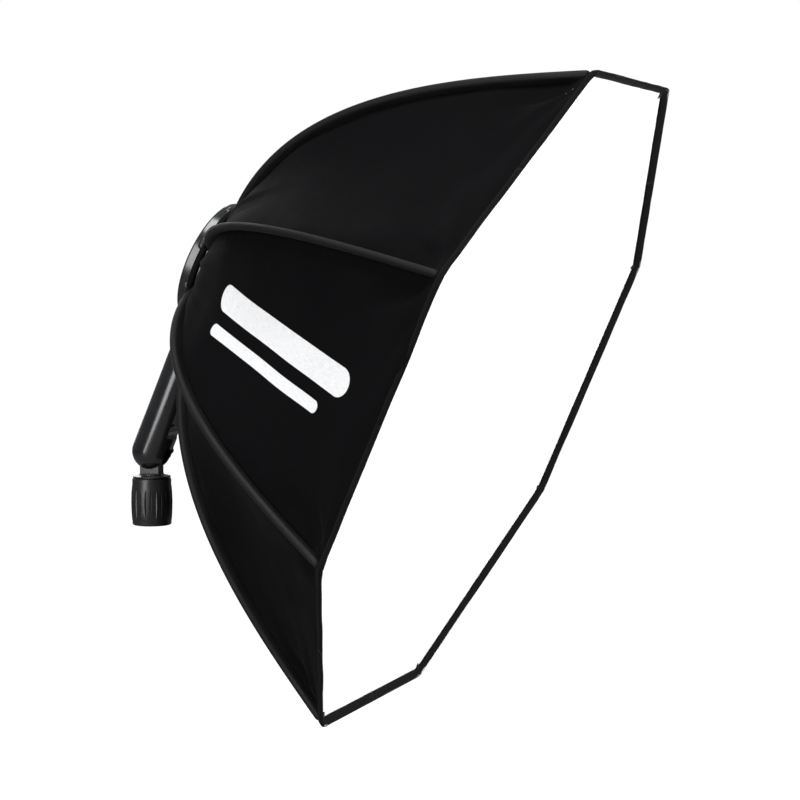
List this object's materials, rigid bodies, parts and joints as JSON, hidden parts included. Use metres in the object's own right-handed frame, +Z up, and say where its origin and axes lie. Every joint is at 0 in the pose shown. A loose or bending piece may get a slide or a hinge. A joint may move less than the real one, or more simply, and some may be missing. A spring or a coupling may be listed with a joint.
{
  "type": "studio softbox",
  "caption": "Folding octagonal softbox on sprung ribs, with a flat white diffuser, a hub, a tilting arm and a stand socket locked by a twist collar.",
  "frame": {"origin": "on the stand stud's axis, at the bottom face of the socket", "axes": "+Z up along the stud, the softbox faces -Y and tips down, the tilt axis runs along X"},
  "size_m": [0.7042, 0.5586, 0.6462],
  "materials": {
    "shell_fabric": "matte black woven nylon with a silver lining",
    "diffuser_fabric": "matte white translucent cloth",
    "gloss_shell": "glossy black moulding",
    "cover_plastic": "fine texture",
    "core_plastic": "glass-filled moulding",
    "collar_plastic": "satin black moulding",
    "liner_plastic": "dull grey",
    "socket_metal": "black coated casting",
    "knuckle_metal": "black coated",
    "rod_steel": "drawn spring steel",
    "steel": "plain",
    "screw_steel": "blackened, worn bright on the edges",
    "aperture_metal": "black anodised"
  },
  "bodies": {
    "stand_bracket": {"stand_socket": "socket_metal", "collet_liner": "liner_plastic", "collar_retainer": "steel", "tilt_washer_left": "steel", "tilt_washer_right": "steel"},
    "lock_collar": {"lock_collar": "collar_plastic"},
    "head": {"arm_housing": "gloss_shell", "arm_cover": "cover_plastic", "pivot_bolt": "steel", "knob_washer": "steel", "hub_shell": "gloss_shell", "hub_core": "core_plastic", "hinge_wire": "steel", "aperture_ring": "aperture_metal", "arm_screw_1": "screw_steel", "arm_screw_2": "screw_steel", "arm_screw_3": "screw_steel", "arm_screw_4": "screw_steel", "hub_screw_1": "screw_steel", "hub_screw_2": "screw_steel", "hub_screw_3": "screw_steel", "hub_screw_4": "screw_steel"},
    "tilt_knob": {"tilt_knob": "collar_plastic"},
    "rib_1": {"rib_rod_1": "rod_steel", "rib_knuckle_1": "knuckle_metal", "shell_gore_1": "shell_fabric"},
    "diffuser_1": {"diffuser_wedge_1": "diffuser_fabric"},
    "rib_2": {"rib_rod_2": "rod_steel", "rib_knuckle_2": "knuckle_metal", "shell_gore_2": "shell_fabric"},
    "diffuser_2": {"diffuser_wedge_2": "diffuser_fabric"},
    "rib_3": {"rib_rod_3": "rod_steel", "rib_knuckle_3": "knuckle_metal", "shell_gore_3": "shell_fabric"},
    "diffuser_3": {"diffuser_wedge_3": "diffuser_fabric"},
    "rib_4": {"rib_rod_4": "rod_steel", "rib_knuckle_4": "knuckle_metal", "shell_gore_4": "shell_fabric"},
    "diffuser_4": {"diffuser_wedge_4": "diffuser_fabric"},
    "rib_5": {"rib_rod_5": "rod_steel", "rib_knuckle_5": "knuckle_metal", "shell_gore_5": "shell_fabric"},
    "diffuser_5": {"diffuser_wedge_5": "diffuser_fabric"},
    "rib_6": {"rib_rod_6": "rod_steel", "rib_knuckle_6": "knuckle_metal", "shell_gore_6": "shell_fabric"},
    "diffuser_6": {"diffuser_wedge_6": "diffuser_fabric"},
    "rib_7": {"rib_rod_7": "rod_steel", "rib_knuckle_7": "knuckle_metal", "shell_gore_7": "shell_fabric"},
    "diffuser_7": {"diffuser_wedge_7": "diffuser_fabric"},
    "rib_8": {"rib_rod_8": "rod_steel", "rib_knuckle_8": "knuckle_metal", "shell_gore_8": "shell_fabric"},
    "diffuser_8": {"diffuser_wedge_8": "diffuser_fabric"}
  },
  "joints": [
    {"name": "collar_twist", "type": "hinge", "parent": "stand_bracket", "child": "lock_collar", "pos_m": [0, 0, 0.026], "axis": [0, 0, 1], "range_deg": [0, 150]},
    {"name": "tilt", "type": "hinge", "parent": "stand_bracket", "child": "head", "pos_m": [0, 0, 0.081], "axis": [1, 0, 0], "range_deg": [-60, 30]},
    {"name": "tilt_knob_turn", "type": "hinge", "parent": "head", "child": "tilt_knob", "pos_m": [0.026, 0, 0.081], "axis": [1, 0, 0], "range_deg": [-270, 0]},
    {"name": "rib_fold_1", "type": "hinge", "parent": "head", "child": "rib_1", "pos_m": [-0.0222, -0.1092, 0.32858], "axis": [0.9239, -0.152, 0.3512], "range_deg": [0, 45], "deforming": ["shell_gore_1"]},
    {"name": "diffuser_swing_1", "type": "hinge", "parent": "rib_1", "child": "diffuser_1", "pos_m": [-0.14161, -0.52821, 0.46138], "axis": [0.9239, -0.152, 0.3512], "range_deg": [0, 38.18], "deforming": ["diffuser_wedge_1"]},
    {"name": "rib_fold_2", "type": "hinge", "parent": "head", "child": "rib_2", "pos_m": [-0.05359, -0.09673, 0.29977], "axis": [0.3827, -0.3669, 0.8479], "range_deg": [0, 45], "deforming": ["shell_gore_2"]},
    {"name": "diffuser_swing_2", "type": "hinge", "parent": "rib_2", "child": "diffuser_2", "pos_m": [-0.34187, -0.44867, 0.27759], "axis": [0.3827, -0.3669, 0.8479], "range_deg": [0, 38.18], "deforming": ["diffuser_wedge_2"]},
    {"name": "rib_fold_3", "type": "hinge", "parent": "head", "child": "rib_3", "pos_m": [-0.05359, -0.0791, 0.25903], "axis": [-0.3827, -0.3669, 0.8479], "range_deg": [0, 45], "deforming": ["shell_gore_3"]},
    {"name": "diffuser_swing_3", "type": "hinge", "parent": "rib_3", "child": "diffuser_3", "pos_m": [-0.34187, -0.3362, 0.01766], "axis": [-0.3827, -0.3669, 0.8479], "range_deg": [0, 38.18], "deforming": ["diffuser_wedge_3"]},
    {"name": "rib_fold_4", "type": "hinge", "parent": "head", "child": "rib_4", "pos_m": [-0.0222, -0.06663, 0.23023], "axis": [-0.9239, -0.152, 0.3512], "range_deg": [0, 45], "deforming": ["shell_gore_4"]},
    {"name": "diffuser_swing_4", "type": "hinge", "parent": "rib_4", "child": "diffuser_4", "pos_m": [-0.14161, -0.25666, -0.16613], "axis": [-0.9239, -0.152, 0.3512], "range_deg": [0, 38.18], "deforming": ["diffuser_wedge_4"]},
    {"name": "rib_fold_5", "type": "hinge", "parent": "head", "child": "rib_5", "pos_m": [0.0222, -0.06663, 0.23023], "axis": [-0.9239, 0.152, -0.3512], "range_deg": [0, 45], "deforming": ["shell_gore_5"]},
    {"name": "diffuser_swing_5", "type": "hinge", "parent": "rib_5", "child": "diffuser_5", "pos_m": [0.14161, -0.25666, -0.16613], "axis": [-0.9239, 0.152, -0.3512], "range_deg": [0, 38.18], "deforming": ["diffuser_wedge_5"]},
    {"name": "rib_fold_6", "type": "hinge", "parent": "head", "child": "rib_6", "pos_m": [0.05359, -0.0791, 0.25903], "axis": [-0.3827, 0.3669, -0.8479], "range_deg": [0, 45], "deforming": ["shell_gore_6"]},
    {"name": "diffuser_swing_6", "type": "hinge", "parent": "rib_6", "child": "diffuser_6", "pos_m": [0.34187, -0.3362, 0.01766], "axis": [-0.3827, 0.3669, -0.8479], "range_deg": [0, 38.18], "deforming": ["diffuser_wedge_6"]},
    {"name": "rib_fold_7", "type": "hinge", "parent": "head", "child": "rib_7", "pos_m": [0.05359, -0.09673, 0.29977], "axis": [0.3827, 0.3669, -0.8479], "range_deg": [0, 45], "deforming": ["shell_gore_7"]},
    {"name": "diffuser_swing_7", "type": "hinge", "parent": "rib_7", "child": "diffuser_7", "pos_m": [0.34187, -0.44867, 0.27759], "axis": [0.3827, 0.3669, -0.8479], "range_deg": [0, 38.18], "deforming": ["diffuser_wedge_7"]},
    {"name": "rib_fold_8", "type": "hinge", "parent": "head", "child": "rib_8", "pos_m": [0.0222, -0.1092, 0.32858], "axis": [0.9239, 0.152, -0.3512], "range_deg": [0, 45], "deforming": ["shell_gore_8"]},
    {"name": "diffuser_swing_8", "type": "hinge", "parent": "rib_8", "child": "diffuser_8", "pos_m": [0.14161, -0.52821, 0.46138], "axis": [0.9239, 0.152, -0.3512], "range_deg": [0, 38.18], "deforming": ["diffuser_wedge_8"]}
  ],
  "couplings": [
    {"joint": "diffuser_swing_1", "follows": "rib_fold_1", "ratio": 0.8482},
    {"joint": "rib_fold_2", "follows": "rib_fold_1", "ratio": 1},
    {"joint": "diffuser_swing_2", "follows": "rib_fold_1", "ratio": 0.8482},
    {"joint": "rib_fold_3", "follows": "rib_fold_1", "ratio": 1},
    {"joint": "diffuser_swing_3", "follows": "rib_fold_1", "ratio": 0.8482},
    {"joint": "rib_fold_4", "follows": "rib_fold_1", "ratio": 1},
    {"joint": "diffuser_swing_4", "follows": "rib_fold_1", "ratio": 0.8482},
    {"joint": "rib_fold_5", "follows": "rib_fold_1", "ratio": 1},
    {"joint": "diffuser_swing_5", "follows": "rib_fold_1", "ratio": 0.8482},
    {"joint": "rib_fold_6", "follows": "rib_fold_1", "ratio": 1},
    {"joint": "diffuser_swing_6", "follows": "rib_fold_1", "ratio": 0.8482},
    {"joint": "rib_fold_7", "follows": "rib_fold_1", "ratio": 1},
    {"joint": "diffuser_swing_7", "follows": "rib_fold_1", "ratio": 0.8482},
    {"joint": "rib_fold_8", "follows": "rib_fold_1", "ratio": 1},
    {"joint": "diffuser_swing_8", "follows": "rib_fold_1", "ratio": 0.8482}
  ]
}
